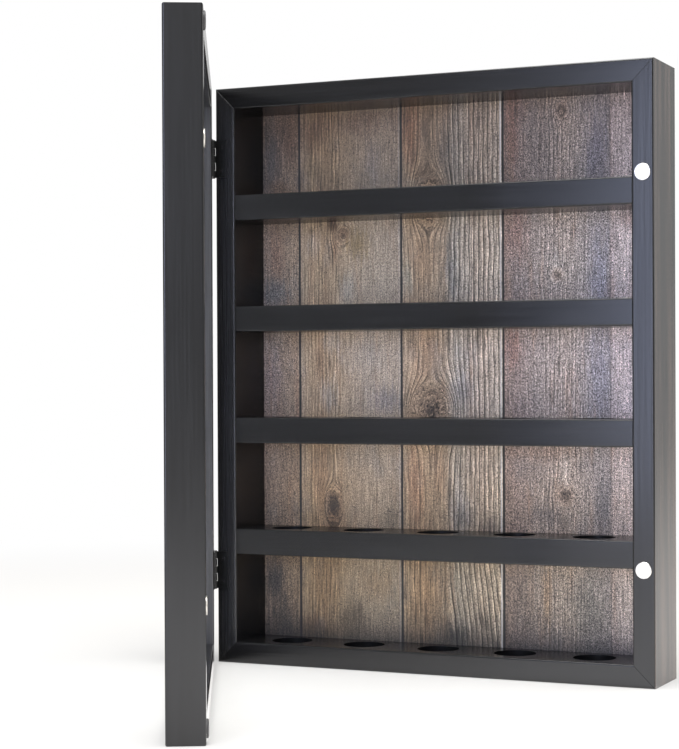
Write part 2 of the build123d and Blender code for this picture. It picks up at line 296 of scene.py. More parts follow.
class Graph:
    """The nodes of one material or world, with short calls to add and join them."""

    def __init__(self, owner):
        owner.use_nodes = True
        self.owner = owner
        self.tree = owner.node_tree
        self.tree.nodes.clear()

    def node(self, kind, inputs=(), **settings):
        """Adds a node. Inputs pair a socket's name or number with a value or an output."""
        node = self.tree.nodes.new(kind)
        for name, value in settings.items():
            setattr(node, name, value)
        for place, value in dict(inputs).items():
            if isinstance(value, bpy.types.NodeSocket):
                self.tree.links.new(value, node.inputs[place])
            else:
                node.inputs[place].default_value = value
        return node

    def math(self, operation, *values, clamp=False):
        settings = {"operation": operation, "use_clamp": clamp}
        return self.node("ShaderNodeMath", enumerate(values), **settings).outputs[0]

    def add(self, a, b):
        return self.math("ADD", a, b)

    def subtract(self, a, b):
        return self.math("SUBTRACT", a, b)

    def multiply(self, a, b):
        return self.math("MULTIPLY", a, b)

    def apart(self, a, b):
        return self.math("ABSOLUTE", self.subtract(a, b))

    def place(self, vector, location=(0, 0, 0), scale=(1, 1, 1), rotation=(0, 0, 0)):
        inputs = {"Vector": vector, "Location": location, "Scale": scale, "Rotation": rotation}
        return self.node("ShaderNodeMapping", inputs).outputs[0]

    def combine(self, x, y, z):
        return self.node("ShaderNodeCombineXYZ", {0: x, 1: y, 2: z}).outputs[0]

    def separate(self, vector):
        return self.node("ShaderNodeSeparateXYZ", {0: vector}).outputs

    def noise(self, vector, detail=2.0, roughness=0.5, distortion=0.0):
        inputs = {
            "Vector": vector,
            "Scale": 1.0,
            "Detail": detail,
            "Roughness": roughness,
            "Distortion": distortion,
        }
        return self.node("ShaderNodeTexNoise", inputs).outputs[0]

    def texture(self, vector, scale, *look):
        """Noise laid out at its own scale along each axis."""
        return self.noise(self.place(vector, scale=scale), *look)

    def remap(self, value, low, high, to_low=0.0, to_high=1.0, smooth=True):
        inputs = {0: value, 1: low, 2: high, 3: to_low, 4: to_high}
        kind = "SMOOTHSTEP" if smooth else "LINEAR"
        return self.node("ShaderNodeMapRange", inputs, interpolation_type=kind).outputs[0]

    def mix(self, share, a, b, blend="MIX"):
        inputs = {0: share, 6: self.opaque(a), 7: self.opaque(b)}
        node = self.node("ShaderNodeMix", inputs, data_type="RGBA", blend_type=blend)
        return node.outputs[2]

    def mix_value(self, share, a, b):
        return self.node("ShaderNodeMix", {0: share, 2: a, 3: b}).outputs[0]

    def opaque(self, colour):
        """A colour of three numbers with its alpha, or a socket as it is."""
        return colour if isinstance(colour, bpy.types.NodeSocket) else (*colour, 1.0)

    def ramp(self, value, stops, interpolation="LINEAR"):
        """A colour ramp through pairs of a place from 0 to 1 and a colour."""
        node = self.node("ShaderNodeValToRGB", {0: value})
        ramp = node.color_ramp
        ramp.interpolation = interpolation
        while len(ramp.elements) < len(stops):
            ramp.elements.new(1.0)
        for element, (position, colour) in zip(ramp.elements, stops):
            element.position = position
            element.color = (*colour, 1.0)
        return node.outputs[0]

    def profile(self, value, stops):
        """A number that changes along value, through pairs of a place and a number."""
        return self.ramp(value, [(position, (number,) * 3) for position, number in stops])

    def bump(self, height, distance):
        return self.node("ShaderNodeBump", {"Height": height, "Distance": distance}).outputs[0]

    def object_mm(self, location=(0, 0, 0)):
        """Object coordinates in millimetres, moved by location."""
        coordinates = self.node("ShaderNodeTexCoord").outputs["Object"]
        return self.place(coordinates, location, (1 / MM,) * 3)

    def surface(self, **inputs):
        """Finishes with a Principled shader; socket names are written with underscores."""
        named = {name.replace("_", " "): value for name, value in inputs.items()}
        return self.finish(self.node("ShaderNodeBsdfPrincipled", named))

    def finish(self, shader):
        """Puts a shader on the output, and gives back the material."""
        self.node("ShaderNodeOutputMaterial", {"Surface": shader.outputs[0]})
        return self.owner


def new_material(name):
    return Graph(bpy.data.materials.new(name))


def paint(material, *names):
    """Gives a material to CAD nodes and pieces by name."""
    for name in names:
        mesh = bpy.data.objects[name].data
        mesh.materials.clear()
        mesh.materials.append(material)


# Black lacquer

LACQUER_IOR = 1.38
LIGHT_GRAIN = 2.2
DARK_PORES = 0.4

# Turns that lay the grain of a member along X
UPRIGHT = (0, math.pi / 2, 0)
ACROSS = (0, 0, 0)
ACROSS_DOOR = (0, 0, door_angle)

# Members lacquered alike: turn of their grain, faces that are worn or lightened with painted
# light, and names
LACQUER_GROUPS = {
    # The front of the left stile is lightened with painted light where the open door shades it
    "case_left": (UPRIGHT, ("outside", "front"), ("case_left_stile",)),
    "case_right": (UPRIGHT, ("outside",), ("case_right_stile",)),
    "door_hinge_side": (UPRIGHT, ("opening",), ("door_hinge_stile",)),
    "door_free_side": (UPRIGHT, (), ("door_free_stile",)),
    "case_across": (
        ACROSS,
        (),
        ("case_top_rail", "case_bottom_rail", "shelf_1", "shelf_2", "shelf_3", "shelf_4"),
    ),
    "door_across": (ACROSS_DOOR, (), ("door_top_rail", "door_bottom_rail")),
}


def lacquer_material(name, turn, worn):
    """Satin black lacquer over wood whose grain runs along X once turned."""
    settings = bpy.context.scene.case_lacquer
    width = 1 / (settings.grain_width / MM)
    length = 1 / (settings.grain_length / MM)
    wave = 1 / (settings.wave_width / MM)
    band = 1 / (settings.band_width / MM)
    graph = new_material(name)
    wood = graph.place(graph.object_mm(), rotation=turn)
    lines = graph.texture(wood, (length, width, width), 3.0, 0.62)
    pores = graph.texture(wood, (length * 5, width * 2, width * 2))
    pores = graph.remap(pores, 0.62, 0.74)
    cloud = graph.texture(wood, (1 / 120, 1 / 30, 1 / 30))
    bands = graph.texture(wood, (length / 3, band, band), 3.0, 0.6)
    lighter = tuple(value * LIGHT_GRAIN for value in settings.colour)
    darker = tuple(value * DARK_PORES for value in settings.colour)
    body = graph.mix(graph.remap(lines, 0.42, 0.70, 0.0, 0.6), settings.colour, lighter)
    body = graph.mix(graph.remap(bands, 0.42, 0.66, 0.0, 0.4), body, lighter)
    body = graph.mix(graph.multiply(pores, 0.6), body, darker)
    normal = graph.node("ShaderNodeTexCoord").outputs["Normal"]
    uneven = graph.remap(lines, 0.35, 0.65, 0.6, 1.0)
    # Painted light: the front of the left stile is lightened where the open door shades it
    if "front" in worn:
        front = graph.remap(graph.separate(normal)[1], -0.7, -0.95)
        body = graph.mix(graph.multiply(front, uneven), body, tuple(settings.front_painted_light))
    if "opening" in worn:
        across = graph.separate(graph.place(normal, rotation=ACROSS_DOOR))[0]
        inside = graph.multiply(graph.remap(across, 0.7, 0.95), uneven)
        body = graph.mix(inside, body, tuple(settings.opening_tone))
    if "outside" in worn:
        sideways = graph.math("ABSOLUTE", graph.separate(normal)[0])
        outside = graph.multiply(graph.remap(sideways, 0.7, 0.95), outer_share(graph))
        broad = graph.remap(bands, 0.40, 0.62)
        shown = graph.add(broad, graph.remap(lines, 0.45, 0.65, -0.3, 0.3))
        shown = graph.math("MULTIPLY", shown, outside, clamp=True)
        body = graph.mix(shown, body, tuple(settings.side_tone))
    rough = graph.add(
        graph.remap(lines, 0.3, 0.75, settings.roughness - 0.01, settings.roughness + 0.02),
        graph.remap(cloud, 0.3, 0.7, -0.015, 0.02),
    )
    waves = graph.texture(wood, (length, wave, wave), 2.0, 0.6)
    height = graph.math("MULTIPLY_ADD", pores, -0.04, waves)
    return graph.surface(
        Base_Color=body,
        Roughness=rough,
        IOR=LACQUER_IOR,
        Normal=graph.bump(height, settings.wave_depth),
    )


def outer_share(graph):
    """One on the case's outer sides and nought on the walls inside."""
    middle = (case_low.x + case_high.x) / 2 / MM
    inward = graph.subtract(graph.separate(graph.object_mm())[0], middle)
    from_outside = graph.subtract(case_width / 2 / MM, graph.math("ABSOLUTE", inward))
    return graph.math("LESS_THAN", from_outside, 1.0)


class CASE_OT_finish_lacquer(bpy.types.Operator):
    """Lacquer both frames and the shelves, with the grain along each member"""

    bl_idname = "display_case.finish_lacquer"
    bl_label = "Lacquer the frames and shelves"

    def execute(self, context):
        for group, (turn, worn, members) in LACQUER_GROUPS.items():
            paint(lacquer_material(f"lacquer_{group}", turn, worn), *members)
        return {"FINISHED"}


# Plank back. Places are millimetres from the left side of the case and from its base.

# Seams, each with the strength of the pale edge on its left, and one that is nearly closed
PLANK_SEAMS = ((48.9, 0.0), (137.2, 0.12), (221.6, 0.55))
FAINT_SEAM = 306.5
SEAM_TONE = tone(24, 20, 19)
SEAM_EDGE_TONE = tone(196, 194, 190)
FAINT_SEAM_TONE = tone(62, 56, 58)

# Screen colours of the boards from left to right, at the height of the middle rows
BOARD_TONES = (
    (16, (128, 115, 107)),
    (32, (130, 115, 102)),
    (48.5, (140, 122, 104)),
    (49.5, (156, 139, 118)),
    (60, (160, 139, 114)),
    (72, (152, 131, 107)),
    (84, (164, 145, 122)),
    (100, (162, 147, 130)),
    (120, (164, 151, 136)),
    (137, (156, 143, 130)),
    (137.8, (162, 145, 124)),
    (146, (158, 137, 115)),
    (160, (155, 136, 114)),
    (174, (152, 137, 120)),
    (182, (156, 149, 140)),
    (204, (166, 153, 141)),
    (221.2, (175, 165, 153)),
    (222.2, (137, 121, 113)),
    (232, (137, 123, 119)),
    (250, (147, 137, 133)),
    (272, (156, 145, 139)),
    (290, (151, 144, 144)),
    (306, (148, 142, 145)),
    (307, (176, 165, 166)),
    (318, (198, 186, 187)),
    (330, (214, 202, 204)),
    (340, (213, 199, 200)),
)

# Screen colours by which painted shade darkens and tints the boards from their foot to their top:
# darkest just above the bottom rail, darker under the top rail, lightest in the middle rows
HEIGHT_SHADE_TONES = (
    (16, (104, 102, 98)),
    (22, (148, 145, 138)),
    (30, (188, 183, 172)),
    (44, (210, 204, 188)),
    (70, (217, 210, 192)),
    (101, (226, 215, 196)),
    (135, (236, 226, 210)),
    (200, (247, 243, 239)),
    (250, (250, 246, 243)),
    (300, (243, 241, 235)),
    (345, (230, 225, 217)),
    (372, (216, 210, 201)),
    (400, (201, 194, 186)),
    (434, (183, 173, 163)),
)

# Distance between growth lines on each board
LINE_SPACING = ((0, 2.4), (48.9, 3.1), (137.2, 4.1), (221.6, 3.4), (306.5, 3.0))

# How strongly growth lines show, from left to right
LINE_SHARE = (
    (16, 0.10), (40, 0.12), (48, 0.35), (52, 0.30), (60, 0.62), (83, 0.70), (88, 0.20),
    (136, 0.12), (139, 0.58), (174, 0.62), (180, 0.90), (221, 1.00), (222, 0.15), (250, 0.20),
    (256, 0.50), (284, 0.50), (288, 0.16), (306, 0.12), (308, 0.30), (340, 0.28),
)

# How strongly the fine speckle shows on the boards
SPECKLE_SHARE = (
    (16, 0.80), (46, 0.66), (50, 0.34), (100, 0.40), (137, 0.46), (138, 0.40), (221, 0.54),
    (223, 1.00), (304, 1.00), (308, 0.80), (340, 0.70),
)

# Brightness across one growth line, from one dark line to the next
RING_SECTION = (
    (0.00, 0.08), (0.08, 0.20), (0.18, 0.72), (0.45, 1.04), (0.70, 1.50), (0.84, 1.95),
    (0.91, 1.15), (0.96, 0.14), (1.00, 0.08),
)

# Stains, and patches of painted shade in the corners beside the left stile: middle, half width and
# height, screen colour and strength
STAINS_AND_SHADE = (
    # Painted shade under the top rail beside the left stile
    ((24, 398), (10, 34), (68, 71, 76), 0.75),
    ((40, 416), (10, 26), (98, 74, 64), 0.60),
    ((32, 374), (12, 9), (116, 90, 64), 0.60),
    ((28, 322), (9, 26), (122, 92, 74), 0.55),
    ((36, 348), (10, 14), (128, 108, 90), 0.40),
    ((26, 290), (16, 14), (84, 90, 94), 0.70),
    ((24, 222), (10, 26), (104, 96, 104), 0.40),
    # Painted shade at the foot beside the left stile, in this patch and the next
    ((26, 60), (11, 26), (56, 57, 62), 0.90),
    ((34, 30), (16, 20), (70, 68, 66), 0.70),
    ((60, 418), (12, 20), (112, 84, 70), 0.55),
    ((104, 424), (36, 12), (116, 92, 80), 0.50),
    ((61, 389), (9, 10), (112, 102, 82), 0.45),
    ((113, 394), (9, 16), (142, 138, 146), 0.38),
    ((80, 326), (5, 18), (92, 64, 46), 0.70),
    ((78, 344), (6, 6), (68, 50, 40), 0.85),
    ((88, 338), (7, 7), (104, 80, 62), 0.60),
    ((100, 328), (12, 15), (134, 114, 74), 0.75),
    ((61, 330), (8, 12), (168, 156, 148), 0.50),
    ((90, 290), (8, 18), (156, 160, 158), 0.42),
    ((59, 340), (3.5, 4), (92, 76, 58), 0.65),
    ((66, 242), (5, 16), (120, 94, 72), 0.55),
    ((77, 253), (9, 12), (170, 168, 164), 0.35),
    ((74, 208), (8, 16), (164, 166, 166), 0.40),
    ((123, 206), (14, 12), (124, 122, 132), 0.50),
    ((106, 238), (26, 16), (160, 152, 144), 0.40),
    ((67, 140), (7, 40), (146, 114, 88), 0.40),
    ((78, 108), (8, 12), (116, 84, 60), 0.55),
    ((128, 112), (10, 10), (96, 90, 80), 0.55),
    ((95, 34), (13, 18), (76, 70, 58), 0.62),
    ((116, 60), (18, 16), (146, 120, 88), 0.45),
    ((70, 60), (18, 30), (142, 112, 78), 0.45),
    ((58, 24), (12, 14), (92, 68, 54), 0.60),
    ((145, 414), (8, 30), (142, 100, 74), 0.65),
    ((158, 408), (5, 26), (74, 66, 62), 0.55),
    ((176, 398), (9, 30), (96, 94, 94), 0.55),
    ((146, 373), (12, 6), (164, 154, 140), 0.60),
    ((156, 312), (14, 24), (140, 112, 86), 0.50),
    ((179, 306), (6, 30), (88, 92, 98), 0.65),
    ((142, 300), (6, 16), (150, 158, 150), 0.40),
    ((160, 244), (10, 26), (150, 118, 92), 0.45),
    ((188, 214), (12, 14), (116, 118, 128), 0.50),
    ((148, 140), (8, 34), (152, 114, 92), 0.50),
    ((168, 150), (7, 26), (152, 122, 96), 0.45),
    ((186, 120), (10, 22), (104, 108, 120), 0.60),
    ((212, 106), (14, 10), (84, 78, 82), 0.55),
    ((160, 55), (20, 34), (148, 116, 82), 0.45),
    ((182, 24), (14, 12), (58, 60, 60), 0.80),
    ((229, 410), (8, 40), (120, 84, 70), 0.60),
    ((252, 398), (16, 34), (98, 92, 94), 0.50),
    ((296, 392), (11, 34), (100, 100, 122), 0.65),
    ((232, 330), (12, 24), (122, 88, 80), 0.50),
    ((264, 310), (10, 8), (160, 156, 154), 0.40),
    ((298, 300), (9, 40), (122, 124, 144), 0.60),
    ((229, 245), (9, 20), (128, 90, 78), 0.55),
    ((298, 224), (10, 40), (122, 124, 142), 0.55),
    ((258, 166), (28, 10), (134, 104, 88), 0.40),
    ((271, 152), (4.5, 16), (190, 182, 178), 0.75),
    ((256, 118), (14, 12), (92, 90, 94), 0.60),
    ((300, 128), (8, 26), (82, 86, 98), 0.65),
    ((256, 56), (4.5, 30), (150, 122, 92), 0.60),
    ((288, 46), (16, 30), (92, 94, 92), 0.55),
    ((236, 50), (14, 30), (96, 88, 84), 0.45),
    ((326, 340), (14, 10), (136, 96, 84), 0.45),
)

# Knots: middle, half width and height of the grain that parts round it, reach and
# strength of its dark heart, and strength of its rings
KNOTS = (
    ((87.1, 335.0), (7.0, 8.0), 0.25, 0.45, 0.60),
    ((78.2, 122.0), (8.5, 17.0), 0.50, 0.78, 0.40),
    ((160.5, 360.5), (13.0, 23.0), 0.30, 0.50, 0.90),
    ((162.3, 197.0), (16.5, 22.0), 0.24, 0.80, 1.0),
    ((268.6, 422.5), (5.5, 7.0), 0.40, 0.38, 0.30),
    ((265.0, 300.0), (5.0, 6.0), 0.35, 0.30, 0.30),
    ((271.3, 133.7), (7.0, 9.0), 0.48, 0.60, 0.40),
)

WOOD_IOR = 1.45
HALO_TONE = tone(112, 90, 72)
HEART_TONE = tone(46, 39, 36)
PLAIN_BOARD_TONES = (tone(120, 88, 60), tone(150, 114, 80))

# Fine cracks that spread from a point: middle and reach
CRACKS = ((131.5, 117.0), (14.0, 6.0))
CRACK_TONE = tone(40, 34, 32)


def toned(stops):
    """Ramp stops with their screen colours as linear light."""
    return [(place, tone(*colour)) for place, colour in stops]


def across_case(stops):
    """Ramp stops at millimetres from the left side as shares of the case's width."""
    return [(place * MM / case_width, value) for place, value in stops]


def up_case(stops):
    """Ramp stops at millimetres from the base as shares of the case's height."""
    return [(place * MM / case_height, value) for place, value in stops]


def reach_from(graph, board, middle, half_size):
    """Distance from a point in half sizes of the ellipse round it."""
    scale = (1 / half_size[0], 0, 1 / half_size[1])
    location = (-middle[0] * scale[0], 0, -middle[1] * scale[2])
    placed = graph.place(board, location, scale)
    return graph.node("ShaderNodeVectorMath", {0: placed}, operation="LENGTH").outputs[1]


def part_round_knots(graph, board, across):
    """Leads the lines round each knot, as water goes round a stone, with rings inside."""
    ragged = graph.texture(board, (1 / 4, 0, 1 / 5), 2.0, 0.6)
    for middle, half_size, *_ in KNOTS:
        reach = reach_from(graph, board, middle, half_size)
        outside = graph.math("MAXIMUM", reach, 1.0)
        share = graph.subtract(1.0, graph.math("POWER", outside, -4.0))
        aside = graph.subtract(across, middle[0])
        bent = graph.add(reach, graph.remap(ragged, 0.3, 0.7, -0.16, 0.16, smooth=False))
        inside = graph.math("MINIMUM", graph.subtract(bent, 1.0), 0.0)
        rings = graph.math("MULTIPLY_ADD", inside, half_size[0], middle[0])
        across = graph.math("MULTIPLY_ADD", aside, share, rings)
    return across


def line_course(graph, board, x, up):
    """Place of a point across the grain, after sway, the slant at the foot and the knots."""
    sway = graph.texture(board, (1 / 30, 0, 1 / 70), 2.0)
    ripple = graph.texture(board, (1 / 9, 0, 1 / 18), 1.0)
    across = graph.math("MULTIPLY_ADD", graph.subtract(sway, 0.5), 5.0, x)
    across = graph.math("MULTIPLY_ADD", graph.subtract(ripple, 0.5), 1.3, across)
    third_end = PLANK_SEAMS[2][0]
    on_third = graph.multiply(graph.remap(x, 172, 182), graph.math("LESS_THAN", x, third_end))
    slant = graph.multiply(graph.remap(up, 88, 15, 0.0, -6.5, smooth=False), on_third)
    return part_round_knots(graph, board, graph.add(across, slant))


def growth_lines(graph, across, x, up, share, strength):
    """Brightness of the growth lines, each line with its own strength."""
    places = [(place, (spacing / 10,) * 3) for place, spacing in LINE_SPACING]
    spacing = graph.ramp(graph.math("DIVIDE", x, case_width / MM), across_case(places), "CONSTANT")
    phase = graph.math("DIVIDE", across, graph.multiply(spacing, 10.0))
    section = graph.profile(graph.math("FRACT", phase), RING_SECTION)
    own = graph.node(
        "ShaderNodeTexWhiteNoise", {1: graph.math("FLOOR", phase)}, noise_dimensions="1D"
    ).outputs[0]
    fade_place = graph.combine(graph.multiply(across, 1 / 5), 3.0, graph.multiply(up, 1 / 55))
    fade = graph.remap(graph.noise(fade_place), 0.30, 0.58, graph.multiply(share, 0.6), 1.1)
    uneven = graph.remap(own, 0.0, 1.0, graph.multiply(share, 0.7), 1.15)
    shown = graph.multiply(graph.multiply(share, fade), uneven)
    return graph.mix_value(graph.multiply(shown, strength), 1.0, section)


def weathering_and_corner_shade(graph, board, colour):
    """Broad cool and warm patches, then the stains and the patches of painted shade."""
    broad = graph.texture(board, (1 / 20, 0, 1 / 44), 3.0, 0.6)
    cool = graph.remap(broad, 0.52, 0.72, 0.0, 0.30)
    colour = graph.mix(cool, colour, tone(112, 116, 122))
    warm_place = graph.place(board, location=(40, 9, 7), scale=(1 / 8, 0, 1 / 80))
    warm = graph.remap(graph.noise(warm_place, 3.0, 0.6), 0.52, 0.72, 0.0, 0.34)
    colour = graph.mix(warm, colour, tone(138, 106, 84))
    streaks = graph.texture(board, (1 / 2.6, 0, 1 / 26), 4.0, 0.75)
    ragged = graph.remap(streaks, 0.32, 0.68, -0.55, 0.55, smooth=False)
    for middle, half_size, stain, strength in STAINS_AND_SHADE:
        reach = graph.add(reach_from(graph, board, middle, half_size), ragged)
        shown = graph.remap(reach, 1.3, 0.1, 0.0, strength * 0.9)
        colour = graph.mix(shown, colour, tone(*stain))
    return colour


def mark_knots(graph, board, colour):
    """Reddish halos, ragged dark hearts and the small cracks."""
    rough_edge = graph.texture(board, (1 / 2.2, 0, 1 / 2.2), 4.0, 0.7)
    wobble = graph.remap(rough_edge, 0.3, 0.7, -0.22, 0.40, smooth=False)
    for middle, half_size, heart, strength, _ in KNOTS:
        reach = graph.add(reach_from(graph, board, middle, half_size), wobble)
        colour = graph.mix(graph.remap(reach, 1.5, 0.5, 0.0, 0.40), colour, HALO_TONE)
        dark = graph.remap(reach, heart + 0.35, heart - 0.1, 0.0, strength)
        colour = graph.mix(dark, colour, HEART_TONE)
    middle, half_size = CRACKS
    placed = graph.place(board, (-middle[0], 0, -middle[1]))
    aside, _, rise = graph.separate(placed)
    angle = graph.math("ARCTAN2", rise, aside)
    ray_place = graph.combine(graph.multiply(angle, 5.0), 0.0, graph.multiply(aside, 0.12))
    rays = graph.noise(ray_place, 2.0)
    near = graph.remap(reach_from(graph, board, middle, half_size), 1.0, 0.3)
    crack = graph.multiply(graph.remap(rays, 0.56, 0.62), near)
    return graph.mix(graph.multiply(crack, 0.8), colour, CRACK_TONE)


def mark_seams(graph, x, colour, height):
    """Dark sunk seams with a pale edge, and a faint line where a seam is closed."""
    for seam, pale in PLANK_SEAMS:
        near = graph.apart(x, seam)
        colour = graph.mix(graph.remap(near, 1.25, 0.6), colour, SEAM_TONE)
        edge = graph.apart(x, seam - 1.9)
        colour = graph.mix(graph.remap(edge, 0.9, 0.2, 0.0, pale), colour, SEAM_EDGE_TONE)
    near = graph.apart(x, FAINT_SEAM)
    faint = graph.remap(near, 0.9, 0.2)
    colour = graph.mix(graph.multiply(faint, 0.35), colour, FAINT_SEAM_TONE)
    return colour, graph.subtract(height, faint)


def plank_colour(graph, board, settings):
    """Colour and height of the boards' faces."""
    x, _, up = graph.separate(board)
    place = graph.math("DIVIDE", x, case_width / MM)
    across = line_course(graph, board, x, up)
    colour = graph.ramp(place, across_case(toned(BOARD_TONES)))
    colour = mark_knots(graph, board, weathering_and_corner_shade(graph, board, colour))

    share = graph.profile(place, across_case(LINE_SHARE))
    for middle, half_size, *_, rings in KNOTS:
        ringed = graph.remap(reach_from(graph, board, middle, half_size), 2.0, 1.1, 0.0, rings)
        share = graph.math("MAXIMUM", share, ringed)
    lines = growth_lines(graph, across, x, up, share, settings.line_strength)

    fibre = 1 / (settings.fibre_width / MM)
    fibre_place = graph.combine(graph.multiply(across, fibre), 5.0, graph.multiply(up, fibre / 22))
    fibres = graph.noise(fibre_place, 3.0, 0.65)
    fibre_share = graph.math("MULTIPLY_ADD", share, 0.55, 0.45)
    fibre_shade = graph.remap(fibres, 0.32, 0.68, 0.22, 1.86, smooth=False)
    fibre_shade = graph.mix_value(fibre_share, 1.0, fibre_shade)

    grit = 1 / (settings.speckle_size / MM)
    speckle = graph.texture(board, (grit, 0, grit * 0.75), 2.0, 0.7, 1.2)
    speckle = graph.subtract(speckle, 0.5)
    speckle = graph.multiply(speckle, graph.profile(place, across_case(SPECKLE_SHARE)))

    height_share = graph.math("DIVIDE", up, case_height / MM)
    # Painted shade: the boards darken towards the foot and towards the top rail
    height_shade = graph.ramp(height_share, up_case(toned(HEIGHT_SHADE_TONES)))
    colour = graph.mix(1.0, colour, height_shade, "MULTIPLY")
    shade = graph.multiply(graph.multiply(lines, fibre_shade), settings.brightness)
    shade = graph.multiply(shade, graph.math("MULTIPLY_ADD", speckle, 13.5, 1.0))
    shade = graph.math("MAXIMUM", shade, 0.05)
    colour = graph.mix(1.0, colour, graph.combine(shade, shade, shade), "MULTIPLY")
    height = graph.add(graph.multiply(speckle, 1.6), graph.add(lines, graph.multiply(fibres, 0.4)))
    return mark_seams(graph, x, colour, height)


def plank_material():
    """Weathered planks on the front of the panel, and plain board on its back."""
    settings = bpy.context.scene.case_planks
    graph = new_material("plank_back")
    board = graph.object_mm((-case_low.x / MM, 0, -case_low.z / MM))
    colour, height = plank_colour(graph, board, settings)
    pulp = graph.texture(board, (1 / 2.2, 1, 1 / 1.1), 4.0, 0.7)
    plain = graph.mix(graph.remap(pulp, 0.3, 0.7), *PLAIN_BOARD_TONES)
    middle = (panel_low.y + panel_high.y) / 2 / MM
    behind = graph.math("GREATER_THAN", graph.separate(board)[1], middle)
    return graph.surface(
        Base_Color=graph.mix(behind, colour, plain),
        Roughness=graph.remap(height, 0.5, 1.8, 0.60, 0.42, smooth=False),
        IOR=WOOD_IOR,
        Normal=graph.bump(height, settings.relief),
    )


class CASE_OT_finish_planks(bpy.types.Operator):
    """Give the back panel its weathered planks"""

    bl_idname = "display_case.finish_planks"
    bl_label = "Finish the plank back"

    def execute(self, context):
        paint(plank_material(), "back_panel")
        return {"FINISHED"}


# Pane

PANE_TINT = (0.985, 0.992, 0.99, 1.0)
PANE_SHADOW_TINT = (0.93, 0.94, 0.935, 1.0)
ACRYLIC_IOR = 1.49


def pane_material():
    """Clear acrylic that lets the lamps through, with faint wiping marks."""
    graph = new_material("clear_pane")
    pane = graph.object_mm()
    wiped = graph.place(pane, rotation=(0.3, 0.5, 0.9), scale=(1 / 60, 1 / 5, 1 / 5))
    marks = graph.noise(wiped, 4.0, 0.7)
    rough = graph.remap(marks, 0.45, 0.8, 0.004, 0.02)
    shader = graph.node(
        "ShaderNodeBsdfPrincipled",
        {
            "Base Color": PANE_TINT,
            "Roughness": rough,
            "IOR": ACRYLIC_IOR,
            "Transmission Weight": 1.0,
        },
    )
    clear = graph.node("ShaderNodeBsdfTransparent", {"Color": PANE_SHADOW_TINT})
    lamps = graph.node("ShaderNodeLightPath").outputs["Is Shadow Ray"]
    mixed = graph.node(
        "ShaderNodeMixShader", {0: lamps, 1: shader.outputs[0], 2: clear.outputs[0]}
    )
    return graph.finish(mixed)


class CASE_OT_finish_pane(bpy.types.Operator):
    """Make the pane of the door clear"""

    bl_idname = "display_case.finish_pane"
    bl_label = "Clear the pane"

    def execute(self, context):
        paint(pane_material(), "door_pane")
        return {"FINISHED"}


# Fittings

MAGNETS = ("case_magnet_upper", "case_magnet_lower", "door_magnet_upper", "door_magnet_lower")
HANGERS = ("keyhole_plate_left", "keyhole_plate_right")
HINGES = ("upper_hinge", "lower_hinge")
HINGE_PARTS = ("case_leaf", "door_leaf", "pin")

RUBBER_TONES = ((0.012, 0.012, 0.013), (0.030, 0.029, 0.030))
BEECH_TONES = (tone(214, 176, 132), tone(176, 132, 92))
BLACK_PAINT = (0.004, 0.004, 0.004)
WORN_STEEL = (0.22, 0.21, 0.20)
ZINC = (0.62, 0.64, 0.66)
STEEL = (0.50, 0.49, 0.48)


def plated_material(name, colour, roughness, scratch_scale, scratch_depth):
    """Plated metal with fine scratches and a little tarnish."""
    graph = new_material(name)
    metal = graph.object_mm()
    rubbed = graph.place(metal, rotation=(0.2, 0.7, 0.4), scale=scratch_scale)
    scratches = graph.noise(rubbed, 3.0, 0.7)
    tarnish = graph.texture(metal, (1 / 3,) * 3, 3.0)
    duller = tuple(value * 0.78 for value in colour)
    body = graph.mix(graph.remap(tarnish, 0.45, 0.75), tuple(colour), duller)
    rough = graph.remap(scratches, 0.3, 0.7, roughness - 0.05, roughness + 0.12)
    return graph.surface(
        Base_Color=body,
        Metallic=1.0,
        Roughness=rough,
        Normal=graph.bump(scratches, scratch_depth),
    )


def black_metal_material():
    """Black paint on steel, worn through in small spots."""
    graph = new_material("black_hinge_metal")
    metal = graph.object_mm()
    wear = graph.texture(metal, (1 / 1.4,) * 3, 4.0, 0.7)
    worn = graph.remap(wear, 0.70, 0.80)
    grit = graph.texture(metal, (3.0,) * 3, 2.0)
    return graph.surface(
        Base_Color=graph.mix(worn, BLACK_PAINT, WORN_STEEL),
        Metallic=graph.multiply(worn, 0.9),
        Roughness=graph.remap(grit, 0.3, 0.7, 0.26, 0.36),
        IOR=LACQUER_IOR,
        Normal=graph.bump(grit, 0.01 * MM),
    )


def grained_material(name, scale, colours, roughness, depth):
    """Matt material with one fine grain that sets its colour, roughness and relief."""
    graph = new_material(name)
    grain = graph.texture(graph.object_mm(), scale, 3.0, 0.6)
    return graph.surface(
        Base_Color=graph.mix(grain, *colours),
        Roughness=graph.remap(grain, 0.3, 0.7, *roughness),
        Normal=graph.bump(grain, depth),
    )


class CASE_OT_finish_fittings(bpy.types.Operator):
    """Finish the magnets, hinges, hangers, corner nails and dowels"""

    bl_idname = "display_case.finish_fittings"
    bl_label = "Finish the fittings"

    def execute(self, context):
        settings = context.scene.case_fittings
        nickel = plated_material(
            "magnet_nickel", settings.nickel, 0.24, (1 / 4, 1 / 0.3, 1 / 0.3), 0.01 * MM
        )
        zinc = plated_material("hanger_zinc", ZINC, 0.34, (1 / 5, 1 / 0.5, 1 / 0.5), 0.02 * MM)
        steel = plated_material("nail_steel", STEEL, 0.38, (1 / 3, 1 / 0.4, 1 / 0.4), 0.02 * MM)
        hinge_metal = black_metal_material()
        beech = grained_material(
            "beech_dowel", (1 / 6, 1 / 0.5, 1 / 0.5), BEECH_TONES, (0.50, 0.62), 0.04 * MM
        )
        paint(nickel, *MAGNETS)
        paint(zinc, *HANGERS)
        paint(steel, "case_corner_nails", "door_corner_nails")
        paint(hinge_metal, *(f"{hinge}_{part}" for hinge in HINGES for part in HINGE_PARTS))
        paint(beech, "shelf_dowels")
        return {"FINISHED"}


# Modelling by operators


